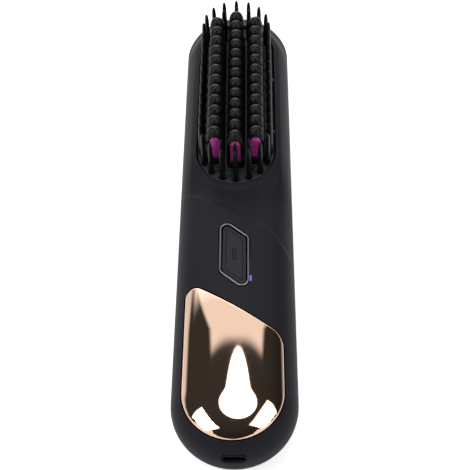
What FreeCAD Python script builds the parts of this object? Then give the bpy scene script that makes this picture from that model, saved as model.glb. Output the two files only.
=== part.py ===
import FreeCAD, Part
import math
import os

# Cordless hair straightening brush, in millimetres. It lies on its back: X across, Y from the
# charging socket to the tip of the head, Z up out of the bristles. The origin is on the back,
# under the middle of the body.

# Walls, clearances and the overrun of every cut
wall = 2.0
overrun = 3.0
seat_fit = 0.05
screw_fit = 0.02

# Battery cells, which set the width and height of the handle
cell_diameter = 18.4
cell_length = 65.0
cell_gap = 0.3
cell_lift = 0.6
cell_side_room = 2.95
cell_end_room = 1.4
cell_edge_round = 0.8
cell_crimp_depth = 0.6
cell_crimp_width = 1.2
cell_crimp_inset = 2.5
ceiling_room = 2.0

# Body section: shares of the height that place the seam and round the face
seam_share = 0.4808
face_corner_share = 0.889
head_drop = 1.0

# Rubber feet let into the back, on which the brush lies
foot_proud = 0.3
foot_sink = 0.8
foot_radius = 3.5
foot_gap = 0.05
foot_x = 7.0
foot_y = 70.0

# Seam between the housings
seam_groove_depth = 0.3
seam_groove_height = 0.25
tongue_height = 1.4
tongue_gap = 0.1

# Brush head opening and the plate that fills it
head_straight = 59.8
plate_radius = 16.2
plate_thickness = 2.0
plate_sink = 0.5
plate_edge_round = 0.6
head_gap = 0.4
collar_flat = 0.6
collar_roll = 2.8
collar_rise = 0.2
ledge_margin = 1.6
ledge_thickness = 3.0
tip_margin = 14.6

# Bristle pins
pin_height = 18.4
pin_seat = 1.2
pin_base_radius = 1.25
pin_shoulder_radius = 0.95
pin_point_length = 5.0
pin_point_swell_share = 0.68
pin_tip_radius = 0.45
pin_tip_height = 0.3
pin_inset = 1.8
pin_steps_arc = 8
pin_steps_side = 10
inner_pin_inset = 6.1
inner_pin_angle = 34.0

# Heating plate, fins and comb covers
fin_spacing = 8.5
fin_width = 4.2
fin_height = 18.0
fin_reach = 0.5
fin_far_room = 1.0
heat_gap = 0.6
heat_plate_thickness = 2.4
heat_plate_radius = 13.5
heat_plate_room = 0.5
heater_setback = 3.9
comb_shift = 0.9
side_comb_setback = 0.75
comb_pitch = 5.87
centre_tooth_count = 13
side_tooth_count = 12
tooth_length = 4.8
tooth_height = 2.6
comb_fit = 0.25
comb_side_wall = 0.8
comb_roof = 0.6
comb_crown_height = 3.6
plinth_width = 7.6
plinth_height = 4.0
plinth_reach = 1.6
plinth_round = 2.8

# Heater stack under the heating plate
ceramic_width = 16.0
ceramic_length = 26.0
ceramic_gap = 6.0
ceramic_thickness = 1.6
mica_margin = 0.4
mica_thickness = 0.3
clamp_thickness = 0.8
tray_wall = 1.5
tray_floor = 1.8
tray_ear_length = 6.0
tray_ear_reach = 3.7
tray_ear_thickness = 2.0
tray_ear_spacing = 31.0
shield_thickness = 0.4
fuse_radius = 1.2
fuse_length = 10.0
sensor_radius = 1.0
sensor_length = 6.0

# Circuit board in the neck
board_gap = 1.0
board_length = 34.87
board_width = 34.0
board_thickness = 1.2
board_drop = 4.6
board_corner_inset = 3.5
board_end_inset = 4.6
board_to_head = 2.3
board_post_radius = 2.2

# Power button, bezel and tact switch
button_from_board = 1.52
button_x = -0.3
bezel_width = 12.0
bezel_side = 26.6
bezel_slant = 40.0
bezel_round = 3.1
bezel_ring = 1.0
bezel_depth = 1.6
bezel_rise = 0.15
bezel_bevel = 0.25
button_gap = 0.35
button_sink = 0.45
button_wall = 1.2
button_flange = 0.85
button_flange_thickness = 0.8
button_flange_room = 0.7
button_edge_round = 0.3
button_border_inset = 1.1
button_border_width = 0.35
button_mark_depth = 0.2
button_mark_width = 1.7
button_mark_length = 5.5
button_stem_radius = 1.5
button_stem_reach = 0.05
switch_size = 6.0
switch_height = 2.2
switch_from_board = 3.0
plunger_radius = 1.6
plunger_gap = 0.05
plunger_depth = 1.2
plunger_travel_room = 0.7

# Indicator beside the button
led_across = 6.4
led_below = 11.05
led_slit_width = 0.8
led_slit_length = 2.6
pipe_foot_width = 2.0
pipe_foot_thickness = 0.7
pipe_end_length = 1.2
pipe_from_board = 1.0
led_length = 1.2
led_height = 0.7
led_gap = 0.1

# Rose gold handle panel
panel_x = -0.4
panel_margin = 4.85
panel_end_margin = 1.1
panel_below_button = 22.9
panel_slant = 32.4
panel_corner_left = 3.9
panel_corner_right = 9.0
panel_thickness = 1.6
panel_proud = 0.1
panel_seat_gap = 0.1
panel_gap = 0.35
panel_peg_radius = 1.2
panel_peg_x = 14.5
panel_peg_upper = 7.0
panel_peg_beyond = 2.952

# Soft crease across the face between handle and head
crease_above_button = 21.45
crease_slant = 30.0
crease_bend_x = 13.0
crease_bend_radius = 25.0
crease_bend_turn = 30.0
crease_round = 2.5

# Charging socket in the end of the handle
socket_width = 8.94
socket_height = 3.2
socket_wall = 0.3
socket_length = 7.3
socket_above_seam = 4.7
socket_recess = 0.5
socket_room = 0.18
socket_block = 1.5
tongue_width = 6.7
tongue_thickness = 0.7
tongue_setback = 1.0
charge_board_width = 13.0
charge_board_length = 8.8
charge_board_thickness = 1.0
charge_board_setback = 0.8
charge_post_radius = 1.8
charge_post_x = 4.6
charge_pin_radius = 0.8
charge_pin_height = 0.6
lead_radius = 0.45
lead_spacing = 1.0
lead_overlap = 2.1
connector_width = 5.0
connector_length = 4.0
connector_height = 1.8
connector_inset = 1.0
heater_lead_radius = 0.55
heater_lead_x = 6.0
heater_lead_room = 0.1

# Battery fittings
cradle_end_inset = 2.0
cradle_below_axis = 3.0
tab_thickness = 0.2
tab_width = 5.0
tab_reach = 3.0
tab_foot = 2.0
link_half_width = 13.0
link_below = 4.0
link_above = 2.0
cell_pad_width = 5.0
cell_pad_thickness = 0.6
cell_pad_gap = 0.03
cell_pad_near_inset = 8.0
cell_pad_far_inset = 14.0

# Parts on the circuit board
chip_size = 7.0
chip_height = 1.2
chip_x = 9.0
chip_from_far = 15.0
coil_size = 7.0
coil_height = 2.8
coil_round = 1.5
transistor_width = 6.5
transistor_length = 6.0
transistor_height = 2.3
transistor_x = 6.5
transistor_from_far = 5.5
capacitor_radius = 2.5
capacitor_height = 6.0
capacitor_x = 5.0
capacitor_from_far = 13.0

# Screws
screw_radius = 1.0
screw_head_radius = 2.0
screw_head_height = 1.5
screw_length_head = 8.0
screw_length_handle = 10.0
screw_cross_width = 0.5
screw_cross_depth = 0.8
screw_clearance = 0.1
boss_wall = 1.8
boss_meet = 1.5
head_screw_inset = 3.4
handle_screw_x = 10.0
handle_screw_room = 0.5
handle_screw_depth = 7.0
board_screw_length = 5.0
heater_screw_length = 4.2
heater_screw_head_radius = 1.5
heater_screw_head_height = 1.2

# Places that follow from the sizes above
cell_radius = cell_diameter / 2
cell_x = (cell_diameter + cell_gap) / 2
cell_reach = cell_x + cell_radius
end_radius = cell_reach + cell_side_room + wall
handle_height = wall + cell_lift + cell_diameter + ceiling_room + wall + head_drop
seam_height = handle_height * seam_share
face_corner_radius = (handle_height - seam_height) * face_corner_share
cell_z = wall + cell_lift + cell_radius
opening_radius = plate_radius + head_gap

socket_bay = end_radius - math.sqrt((end_radius - wall) ** 2 - cell_reach ** 2) + cell_end_room
handle_length = socket_bay + cell_length + board_gap + board_length + board_to_head
body_length = handle_length + 2 * opening_radius + head_straight + tip_margin
end_centre = body_length / 2 - end_radius
tail = -body_length / 2
cell_near = tail + socket_bay
cell_far = cell_near + cell_length
board_near = cell_far + board_gap
board_far = board_near + board_length
head_near = board_far + board_to_head + opening_radius
head_far = head_near + head_straight
head_middle = (head_near + head_far) / 2
comb_middle = head_middle + comb_shift
button_y = board_near + button_from_board

head_face = handle_height - head_drop
collar_top = head_face + collar_rise
ledge_radius = opening_radius + ledge_margin
plate_top = head_face - plate_sink
plate_bottom = plate_top - plate_thickness
ledge_bottom = plate_bottom - ledge_thickness
ceiling = head_face - wall
heat_plate_top = plate_bottom - heat_gap
heat_plate_bottom = heat_plate_top - heat_plate_thickness
heater_near = head_near + heater_setback
heater_far = head_far - heater_setback
heater_opening_radius = heat_plate_radius + heat_plate_room
fin_top = heat_plate_top + fin_height
channel_width = fin_width + 2 * comb_fit
comb_width = channel_width + 2 * comb_side_wall
comb_valley = fin_top + comb_fit + comb_roof
comb_top = comb_valley + tooth_height
plinth_top = plate_top + plinth_height

ceramic_bottom = heat_plate_bottom - ceramic_thickness
mica_bottom = ceramic_bottom - mica_thickness
clamp_bottom = mica_bottom - clamp_thickness
tray_bottom = clamp_bottom - tray_floor
stack_near = head_middle - ceramic_gap / 2 - ceramic_length
stack_far = head_middle + ceramic_gap / 2 + ceramic_length
side_part_x = (ceramic_width / 2 + mica_margin + heat_plate_radius - tray_wall) / 2
heater_screw_x = heat_plate_radius + tray_ear_reach - heater_screw_head_radius - screw_clearance

board_top = ceiling - board_drop
board_bottom = board_top - board_thickness
switch_y = board_near + switch_from_board
switch_top = board_top + switch_height
bezel_top = handle_height + bezel_rise
bezel_bottom = bezel_top - bezel_depth - bezel_rise
button_top = bezel_top - button_sink
flange_top = ceiling - button_flange_room
flange_bottom = flange_top - button_flange_thickness
stem_bottom = flange_bottom - button_stem_reach
plunger_top = stem_bottom - plunger_gap
plunger_bottom = switch_top - plunger_depth
led_x = button_x + led_across
led_y = button_y - led_below
led_top = board_top + led_height
pipe_foot_top = flange_top - (flange_top - flange_bottom) / 2 + pipe_foot_thickness / 2 - seat_fit

panel_half_width = end_radius - panel_margin
panel_top_y = button_y - panel_below_button
socket_z = seam_height + socket_above_seam
charge_board_top = socket_z - socket_height / 2
charge_board_bottom = charge_board_top - charge_board_thickness
lead_z = charge_board_top + lead_radius
heater_lead_z = (ceramic_bottom + heat_plate_bottom) / 2
boss_meet_z = seam_height + boss_meet
boss_radius = screw_radius + boss_wall
head_screw_seat = plate_bottom - screw_head_height - screw_clearance
head_screw_places = (head_near - opening_radius + head_screw_inset, head_far + opening_radius - head_screw_inset)
handle_screw_y = cell_near - boss_radius - handle_screw_room
handle_screw_seat = handle_height - handle_screw_depth
board_post_x = board_width / 2 - board_corner_inset
board_post_places = (board_near + board_end_inset, board_far - board_end_inset)


def v(x, y, z):
    return FreeCAD.Vector(x, y, z)


def block(x0, x1, y0, y1, z0, z1):
    return Part.makeBox(x1 - x0, y1 - y0, z1 - z0, v(x0, y0, z0))


def post(x, y, z0, z1, radius):
    return Part.makeCylinder(radius, z1 - z0, v(x, y, z0))


def rod(x, z, y0, y1, radius):
    return Part.makeCylinder(radius, y1 - y0, v(x, y0, z), v(0, 1, 0))


def group(solids):
    return Part.makeCompound(solids)


def stadium(radius, near, far, z0, z1):
    """Upright prism whose outline is a stadium; near and far are its arc centres on Y."""
    sides = [
        Part.makeLine(v(radius, near, z0), v(radius, far, z0)),
        Part.Arc(v(radius, far, z0), v(0, far + radius, z0), v(-radius, far, z0)).toShape(),
        Part.makeLine(v(-radius, far, z0), v(-radius, near, z0)),
        Part.Arc(v(-radius, near, z0), v(0, near - radius, z0), v(radius, near, z0)).toShape(),
    ]
    return Part.Face(Part.Wire(sides)).extrude(v(0, 0, z1 - z0))


def long_slot(width, height, z, y0, y1):
    """Bar along Y with a rounded slot section, centred on X."""
    run = (width - height) / 2
    half = height / 2
    sides = [
        Part.makeLine(v(-run, y0, z - half), v(run, y0, z - half)),
        Part.Arc(v(run, y0, z - half), v(run + half, y0, z), v(run, y0, z + half)).toShape(),
        Part.makeLine(v(run, y0, z + half), v(-run, y0, z + half)),
        Part.Arc(v(-run, y0, z + half), v(-run - half, y0, z), v(-run, y0, z - half)).toShape(),
    ]
    return Part.Face(Part.Wire(sides)).extrude(v(0, y1 - y0, 0))


def rounded_prism(corners, radii, z0, z1):
    """Upright prism over a polygon whose corners are rounded, each by its own radius."""
    arcs = []
    for index, corner in enumerate(corners):
        back = (corners[index - 1] - corner).normalize()
        ahead = (corners[(index + 1) % len(corners)] - corner).normalize()
        half_turn = back.getAngle(ahead) / 2
        reach = radii[index] / math.tan(half_turn)
        sag = radii[index] / math.sin(half_turn) - radii[index]
        middle = corner + (back + ahead).normalize() * sag
        arcs.append((corner + back * reach, middle, corner + ahead * reach))
    edges = []
    for index, (start, middle, end) in enumerate(arcs):
        edges.append(Part.Arc(start, middle, end).toShape())
        following = arcs[(index + 1) % len(arcs)][0]
        if end.distanceToPoint(following) > seat_fit:
            edges.append(Part.makeLine(end, following))
    face = Part.Face(Part.Wire(edges))
    return face.translated(v(0, 0, z0)).extrude(v(0, 0, z1 - z0))


def top_edges(solid, z):
    return [edge for edge in solid.Edges if abs(edge.BoundBox.ZMin - z) + abs(edge.BoundBox.ZMax - z) < seat_fit]


def upper_half(inset, drop):
    """Half section of the body from the seam to the crowned face, inset from the outside."""
    corner = v(end_radius - face_corner_radius, 0, seam_height - drop)
    rise = handle_height - seam_height
    excess = corner.x ** 2 + rise ** 2 - face_corner_radius ** 2
    crown_radius = excess / (2 * (rise - face_corner_radius))
    crown = v(0, 0, handle_height - drop - crown_radius)
    along = (corner - crown).normalize()
    side_middle = (along + v(1, 0, 0)).normalize()
    crown_middle = (along + v(0, 0, 1)).normalize()
    side = face_corner_radius - inset
    face = crown_radius - inset
    widest = corner + v(side, 0, 0)
    meet = corner + along * side
    peak = crown + v(0, 0, face)
    edges = [
        Part.makeLine(v(0, 0, corner.z), widest),
        Part.Arc(widest, corner + side_middle * side, meet).toShape(),
        Part.Arc(meet, crown + crown_middle * face, peak).toShape(),
        Part.makeLine(peak, v(0, 0, corner.z)),
    ]
    return Part.Face(Part.Wire(edges))


def lower_half(inset):
    """Half section of the body from its flat back to the seam, inset from the outside."""
    back_round = seam_height - foot_proud
    corner = v(end_radius - back_round, 0, seam_height)
    round_radius = back_round - inset
    diagonal = v(1, 0, -1).normalize() * round_radius
    flat_end = corner - v(0, 0, round_radius)
    widest = corner + v(round_radius, 0, 0)
    edges = [
        Part.makeLine(v(0, 0, seam_height), v(0, 0, flat_end.z)),
        Part.makeLine(v(0, 0, flat_end.z), flat_end),
        Part.Arc(flat_end, corner + diagonal, widest).toShape(),
        Part.makeLine(widest, v(0, 0, seam_height)),
    ]
    return Part.Face(Part.Wire(edges))


def round_ended(half, near, far):
    """Solid with straight sides and round ends about near and far that has the half section all round."""
    start = half.translated(v(0, near, 0))
    finish = half.translated(v(0, far, 0))
    upright = v(0, 0, 1)
    far_end = finish.revolve(v(0, far, 0), upright, 180)
    near_end = start.revolve(v(0, near, 0), upright, -180)
    right = start.extrude(v(0, far - near, 0))
    left = right.mirror(v(0, 0, 0), v(1, 0, 0))
    return right.fuse([left, near_end, far_end]).removeSplitter()


def capsule(half):
    """The half section carried round the whole body."""
    return round_ended(half, -end_centre, end_centre)


def above_seam():
    return block(-body_length, body_length, -body_length, body_length, seam_height, 2 * handle_height)


def handle_form(drop):
    """Upper body with the handle's crowned face, lowered by drop."""
    return capsule(upper_half(0, drop)).common(above_seam())


def handle_region():
    """Upright prism over the handle's side of the crease."""
    slant = math.radians(crease_slant)
    steep = math.radians(crease_slant + crease_bend_turn)
    half_way = math.radians(crease_slant + crease_bend_turn / 2)
    crease_y = button_y + crease_above_button
    side = end_radius + overrun
    left = v(-side, crease_y + side * math.tan(slant), 0)
    bend = v(crease_bend_x, crease_y - crease_bend_x * math.tan(slant), 0)
    centre = bend - v(math.sin(slant), math.cos(slant), 0) * crease_bend_radius
    middle = centre + v(math.sin(half_way), math.cos(half_way), 0) * crease_bend_radius
    turned = centre + v(math.sin(steep), math.cos(steep), 0) * crease_bend_radius
    right = turned + v(math.cos(steep), -math.sin(steep), 0) * crease_bend_radius
    low_right = v(right.x, tail - overrun, 0)
    low_left = v(-side, tail - overrun, 0)
    edges = [
        Part.makeLine(left, bend),
        Part.Arc(bend, middle, turned).toShape(),
        Part.makeLine(turned, right),
        Part.makeLine(right, low_right),
        Part.makeLine(low_right, low_left),
        Part.makeLine(low_left, left),
    ]
    return Part.Face(Part.Wire(edges)).extrude(v(0, 0, 2 * handle_height))


def handle_face():
    """The handle's side of the upper body, with its crease edge rounded over."""
    form = handle_form(0).common(handle_region())
    edges = []
    for face in form.Faces:
        upright = abs(face.normalAt(0, 0).z) < math.sin(math.radians(1))
        straight = isinstance(face.Surface, Part.Plane)
        bend = isinstance(face.Surface, Part.Cylinder) and abs(face.Surface.Radius - crease_bend_radius) < seat_fit
        if upright and (straight or bend):
            edges += [edge for edge in face.Edges if edge.BoundBox.ZMax > seam_height + seat_fit]
    shared = [edge for edge in edges if len([other for other in edges if other.isSame(edge)]) == 1]
    return form.makeFillet(crease_round, shared)


def head_collar():
    """Rolled rim of the head round the bristle plate, with bowed sides that end upright at the seam."""
    flat_end = v(opening_radius + collar_flat, 0, collar_top)
    centre = flat_end - v(0, 0, collar_roll)
    widest = v(end_radius, 0, seam_height)
    rise = centre.z - seam_height
    lean = math.pi / 2 - 2 * math.atan((end_radius - centre.x - collar_roll) / rise)
    middle = centre + v(math.sin(lean / 2), 0, math.cos(lean / 2)) * collar_roll
    shoulder = centre + v(math.sin(lean), 0, math.cos(lean)) * collar_roll
    side_radius = collar_roll + rise / math.cos(lean)
    side_turn = (lean + math.pi / 2) / 2
    side_middle = widest + v(math.sin(side_turn) - 1, 0, math.cos(side_turn)) * side_radius
    edges = [
        Part.makeLine(v(0, 0, collar_top), flat_end),
        Part.Arc(flat_end, middle, shoulder).toShape(),
        Part.Arc(shoulder, side_middle, widest).toShape(),
        Part.makeLine(widest, v(0, 0, seam_height)),
        Part.makeLine(v(0, 0, seam_height), v(0, 0, collar_top)),
    ]
    return round_ended(Part.Face(Part.Wire(edges)), head_near, head_far)


def slant_prism(inset, z0, z1):
    """Upright prism of the button's slanted outline, inset from the bezel's outside."""
    half = bezel_width / 2 - inset
    slope = math.tan(math.radians(bezel_slant))
    side = bezel_side / 2 - inset / math.cos(math.radians(bezel_slant))
    corners = [
        v(button_x - half, button_y + half * slope + side, 0),
        v(button_x - half, button_y + half * slope - side, 0),
        v(button_x + half, button_y - half * slope - side, 0),
        v(button_x + half, button_y - half * slope + side, 0),
    ]
    radius = max(bezel_round - inset, seat_fit)
    return rounded_prism(corners, [radius] * len(corners), z0, z1)


def panel_prism(inset, z0, z1):
    """Upright prism of the panel's outline: round at the bottom, slanted at the top."""
    slant = math.radians(panel_slant)
    half = panel_half_width - inset
    top = panel_top_y - inset / math.cos(slant)
    slope = math.tan(slant)
    bottom = panel_end_margin - end_centre - half
    left = panel_x - half
    right = panel_x + half
    corners = [v(left, top + half * slope, 0), v(left, bottom, 0), v(right, bottom, 0), v(right, top - half * slope, 0)]
    radii = [panel_corner_left - inset, half, half, panel_corner_right - inset]
    return rounded_prism(corners, radii, z0, z1)


def panel_peg_places():
    upper = panel_top_y - panel_peg_upper
    lower = panel_end_margin - end_centre - panel_peg_beyond
    lift = panel_peg_x * math.tan(math.radians(panel_slant))
    left = panel_x - panel_peg_x
    right = panel_x + panel_peg_x
    return [(left, upper), (right, upper - lift), (left, lower), (right, lower)]


def ring_places():
    """Places of the bristle pins: a ring inside the plate's edge and an arc at each end."""
    ring = plate_radius - pin_inset
    inner = plate_radius - inner_pin_inset
    places = []
    for step in range(pin_steps_arc + 1):
        angle = math.pi * step / pin_steps_arc
        across = ring * math.cos(angle)
        along = ring * math.sin(angle)
        places.append((across, head_far + along))
        places.append((across, head_near - along))
    for step in range(1, pin_steps_side):
        y = head_near + head_straight * step / pin_steps_side
        places.append((ring, y))
        places.append((-ring, y))
    for turn in (-1, 0, 1):
        angle = math.radians(inner_pin_angle * turn)
        places.append((inner * math.sin(angle), head_near - inner * math.cos(angle)))
        places.append((inner * math.sin(angle), head_far + inner * math.cos(angle)))
    return places


def comb_span(middle, teeth):
    """Near and far end of a comb's wall with so many teeth."""
    half = comb_pitch * (teeth - 1) / 2 + tooth_length / 2
    return middle - half, middle + half


def fin_span(middle, teeth):
    near, far = comb_span(middle, teeth)
    return near - fin_reach, far - fin_far_room


def comb_rows():
    """Place across, middle and tooth count of each comb."""
    side_middle = comb_middle - side_comb_setback
    return [
        (-fin_spacing, side_middle, side_tooth_count),
        (0, comb_middle, centre_tooth_count),
        (fin_spacing, side_middle, side_tooth_count),
    ]


def screw(x, y, seat, length, head_radius, head_height, way):
    """Cross-head screw whose head sits on seat; way is 1 for a screw driven down, -1 for up."""
    down = v(0, 0, -way)
    head = Part.makeCylinder(head_radius, head_height, v(x, y, seat), v(0, 0, way))
    shank = Part.makeCylinder(screw_radius, length, v(x, y, seat), down)
    crown = seat + way * head_height
    low, high = sorted((crown, crown - way * screw_cross_depth))
    arm = head_radius - screw_cross_width
    half = screw_cross_width / 2
    cross = block(x - arm, x + arm, y - half, y + half, low, high)
    cross = cross.fuse(block(x - half, x + half, y - arm, y + arm, low, high))
    return head.fuse(shank).cut(cross).removeSplitter()


def front_housing():
    shell = handle_form(head_drop).fuse([handle_face(), head_collar()])
    shell = shell.cut(capsule(upper_half(wall, head_drop)))
    ledge = stadium(ledge_radius, head_near, head_far, ledge_bottom, plate_bottom + head_drop)
    bosses = []
    for side in (-1, 1):
        bosses.append(post(side * handle_screw_x, handle_screw_y, boss_meet_z, ceiling, boss_radius + screw_clearance))
    inner = [part.common(handle_form(head_drop)) for part in bosses]
    shell = shell.fuse([ledge] + inner)
    cuts = [
        stadium(opening_radius, head_near, head_far, plate_bottom, collar_top + overrun),
        stadium(heater_opening_radius, heater_near, heater_far, ledge_bottom - overrun, plate_bottom + overrun),
        slant_prism(-seat_fit, bezel_bottom, bezel_top + overrun),
        slant_prism(bezel_ring, flange_bottom, bezel_top),
        block(led_x - led_slit_width / 2 - seat_fit, led_x + led_slit_width / 2 + seat_fit,
              led_y - led_slit_length / 2 - seat_fit, led_y + led_slit_length / 2 + seat_fit,
              flange_bottom, handle_height),
        long_slot(socket_width + 2 * socket_room, socket_height + 2 * socket_room, socket_z,
                  tail - overrun, tail + socket_length),
    ]
    pocket = panel_prism(-panel_gap, seam_height, bezel_top + overrun)
    cuts.append(pocket.cut(handle_form(panel_thickness - panel_proud + panel_seat_gap)))
    for x, y in panel_peg_places():
        cuts.append(post(x, y, seam_height, handle_height, panel_peg_radius + seat_fit))
    for y in head_screw_places:
        cuts.append(post(0, y, head_screw_seat, plate_bottom + overrun, screw_head_radius + screw_clearance))
        cuts.append(post(0, y, ledge_bottom - overrun, plate_bottom, screw_radius + screw_clearance))
    for side in (-1, 1):
        x = side * handle_screw_x
        cuts.append(post(x, handle_screw_y, handle_screw_seat, handle_height, screw_head_radius + screw_clearance))
        cuts.append(post(x, handle_screw_y, seam_height, handle_height, screw_radius + screw_clearance))
        for y in ear_places():
            top = ledge_bottom - tray_ear_thickness + heater_screw_length
            cuts.append(post(side * heater_screw_x, y, ledge_bottom - overrun, top, screw_radius + screw_fit))
    groove = stadium(end_radius + overrun, -end_centre, end_centre, seam_height, seam_height + seam_groove_height)
    cuts.append(groove.cut(stadium(end_radius - seam_groove_depth, -end_centre, end_centre, seam_height,
                                   seam_height + seam_groove_height)))
    rebate = stadium(end_radius - wall / 2, -end_centre, end_centre, seam_height,
                     seam_height + tongue_height + tongue_gap)
    kept = stadium(end_radius - wall - tongue_gap, -end_centre, end_centre, seam_height,
                   seam_height + tongue_height + tongue_gap)
    cuts.append(rebate.cut(kept))
    return shell.cut(cuts).removeSplitter()


def rear_housing():
    shell = capsule(lower_half(0)).cut(capsule(lower_half(wall)))
    tongue = stadium(end_radius - wall / 2 - tongue_gap, -end_centre, end_centre, seam_height - wall,
                     seam_height + tongue_height)
    tongue = tongue.cut(stadium(end_radius - wall, -end_centre, end_centre, seam_height - wall,
                                seam_height + tongue_height))
    posts = []
    for y in head_screw_places:
        posts.append((0, y, ledge_bottom, boss_radius))
    for side in (-1, 1):
        posts.append((side * handle_screw_x, handle_screw_y, boss_meet_z, boss_radius))
        posts.append((side * charge_post_x, charge_post_y(), charge_board_bottom, charge_post_radius))
        posts.append((side * charge_post_x, charge_post_y(), charge_board_top + charge_pin_height, charge_pin_radius))
        for y in board_post_places:
            posts.append((side * board_post_x, y, board_bottom, board_post_radius))
    inside = capsule(lower_half(wall / 2))
    columns = []
    for x, y, top, radius in posts:
        columns.append(post(x, y, 0, seam_height, radius).common(inside))
        columns.append(post(x, y, seam_height, top, radius))
    shell = shell.fuse([tongue] + columns)
    pilots = [post(x, y, 0, foot_proud + foot_sink, foot_radius + foot_gap) for x, y in foot_places()]
    for y in head_screw_places:
        pilots.append(post(0, y, head_screw_seat - screw_length_head, head_screw_seat, screw_radius + screw_fit))
    for side in (-1, 1):
        low = handle_screw_seat - screw_length_handle
        pilots.append(post(side * handle_screw_x, handle_screw_y, low, handle_height, screw_radius + screw_fit))
        for y in board_post_places:
            low = board_top - board_screw_length
            pilots.append(post(side * board_post_x, y, low, board_top, screw_radius + screw_fit))
    groove = stadium(end_radius + overrun, -end_centre, end_centre, seam_height - seam_groove_height, seam_height)
    groove = groove.cut(stadium(end_radius - seam_groove_depth, -end_centre, end_centre,
                                seam_height - seam_groove_height, seam_height))
    return shell.cut(pilots + [groove]).removeSplitter()


def foot_places():
    return [(x, y) for x in (-foot_x, foot_x) for y in (-foot_y, foot_y)]


def rest_feet():
    return group([post(x, y, 0, foot_proud + foot_sink, foot_radius) for x, y in foot_places()])


def charge_post_y():
    return tail + socket_bay - charge_post_radius - charge_board_setback


def ear_places():
    return (head_middle - tray_ear_spacing / 2, head_middle + tray_ear_spacing / 2)


def handle_panel():
    outside = handle_form(-panel_proud)
    inside = handle_form(panel_thickness - panel_proud)
    panel = panel_prism(0, seam_height, bezel_top + overrun).common(outside).cut(inside)
    pegs = []
    for x, y in panel_peg_places():
        peg = post(x, y, seam_height, handle_height, panel_peg_radius)
        pegs.append(peg.common(outside).cut(handle_form(head_drop + wall)))
    return panel.fuse(pegs).removeSplitter()


def button_bezel():
    ring = slant_prism(0, bezel_bottom, bezel_top)
    ring = ring.makeChamfer(bezel_bevel, top_edges(ring, bezel_top))
    return ring.cut(slant_prism(bezel_ring, bezel_bottom - overrun, bezel_top + overrun))


def power_button():
    outline = bezel_ring + button_gap
    cap = slant_prism(outline, flange_bottom, button_top)
    cap = cap.makeFillet(button_edge_round, top_edges(cap, button_top))
    border = outline + button_border_inset
    mark_bottom = button_top - button_mark_depth
    groove = slant_prism(border, mark_bottom, bezel_top)
    groove = groove.cut(slant_prism(border + button_border_width, mark_bottom, bezel_top))
    half_run = (button_mark_length - button_mark_width) / 2
    mark = stadium(button_mark_width / 2, button_y - half_run, button_y + half_run, mark_bottom, bezel_top)
    mark.translate(v(button_x, 0, 0))
    cap = cap.fuse(slant_prism(outline - button_flange, flange_bottom, flange_top))
    hollow = slant_prism(outline + button_wall, flange_bottom - overrun, button_top - button_wall)
    cap = cap.cut([groove, mark, hollow])
    stem = post(0, switch_y, stem_bottom, button_top - button_wall, button_stem_radius)
    return cap.fuse(stem).removeSplitter()


def switch_plunger():
    return post(0, switch_y, plunger_bottom, plunger_top, plunger_radius)


def switch_body():
    half = switch_size / 2
    body = block(-half, half, switch_y - half, switch_y + half, board_top, switch_top)
    well = plunger_bottom - plunger_travel_room
    return body.cut(post(0, switch_y, well, switch_top + overrun, plunger_radius + seat_fit))


def indicator_light_pipe():
    left = led_x - led_slit_width / 2
    near = led_y - led_slit_length / 2
    foot_bottom = pipe_foot_top - pipe_foot_thickness
    end = board_near + pipe_from_board + pipe_end_length
    bar = block(left, left + led_slit_width, near, near + led_slit_length, foot_bottom, handle_height)
    bar = bar.common(handle_form(0))
    foot = block(left, left + pipe_foot_width, near, end, foot_bottom, pipe_foot_top)
    leg = block(left, left + pipe_foot_width, end - pipe_end_length, end, led_top + led_gap, pipe_foot_top)
    return bar.fuse([foot, leg]).removeSplitter()


def indicator_led():
    left = led_x - led_slit_width / 2
    near = board_near + pipe_from_board
    return block(left, left + pipe_foot_width, near, near + led_length, board_top, led_top)


def bristle_plate():
    plate = stadium(plate_radius, head_near, head_far, plate_bottom, plate_top)
    plate = plate.makeFillet(plate_edge_round, top_edges(plate, plate_top))
    cuts = []
    for x, middle, teeth in comb_rows():
        near, far = comb_span(middle, teeth)
        half = comb_width / 2 + seat_fit
        near = near - fin_reach - comb_fit
        cuts.append(block(x - half, x + half, near - seat_fit, far + seat_fit, plate_bottom - overrun, plate_top + overrun))
    for x, y in ring_places():
        cuts.append(post(x, y, plate_top - pin_seat, plate_top + overrun, pin_base_radius + screw_fit))
    return plate.cut(cuts)


def bristle_pins():
    foot = plate_top - pin_seat
    tip = plate_top + pin_height
    shoulder = tip - pin_point_length
    cap = tip - pin_tip_height
    swell = pin_tip_radius + (pin_shoulder_radius - pin_tip_radius) * pin_point_swell_share
    cap_radius = (pin_tip_radius ** 2 + pin_tip_height ** 2) / (2 * pin_tip_height)
    cap_turn = math.asin(pin_tip_radius / cap_radius) / 2
    cap_middle = v(cap_radius * math.sin(cap_turn), 0, tip - cap_radius * (1 - math.cos(cap_turn)))
    profile = Part.Wire([
        Part.makeLine(v(0, 0, foot), v(pin_base_radius, 0, foot)),
        Part.makeLine(v(pin_base_radius, 0, foot), v(pin_base_radius, 0, plate_top)),
        Part.makeLine(v(pin_base_radius, 0, plate_top), v(pin_shoulder_radius, 0, shoulder)),
        Part.Arc(v(pin_shoulder_radius, 0, shoulder), v(swell, 0, (shoulder + cap) / 2),
                 v(pin_tip_radius, 0, cap)).toShape(),
        Part.Arc(v(pin_tip_radius, 0, cap), cap_middle, v(0, 0, tip)).toShape(),
        Part.makeLine(v(0, 0, tip), v(0, 0, foot)),
    ])
    pin = Part.Face(profile).revolve(v(0, 0, 0), v(0, 0, 1), 360)
    return group([pin.translated(v(x, y, 0)) for x, y in ring_places()])


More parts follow.
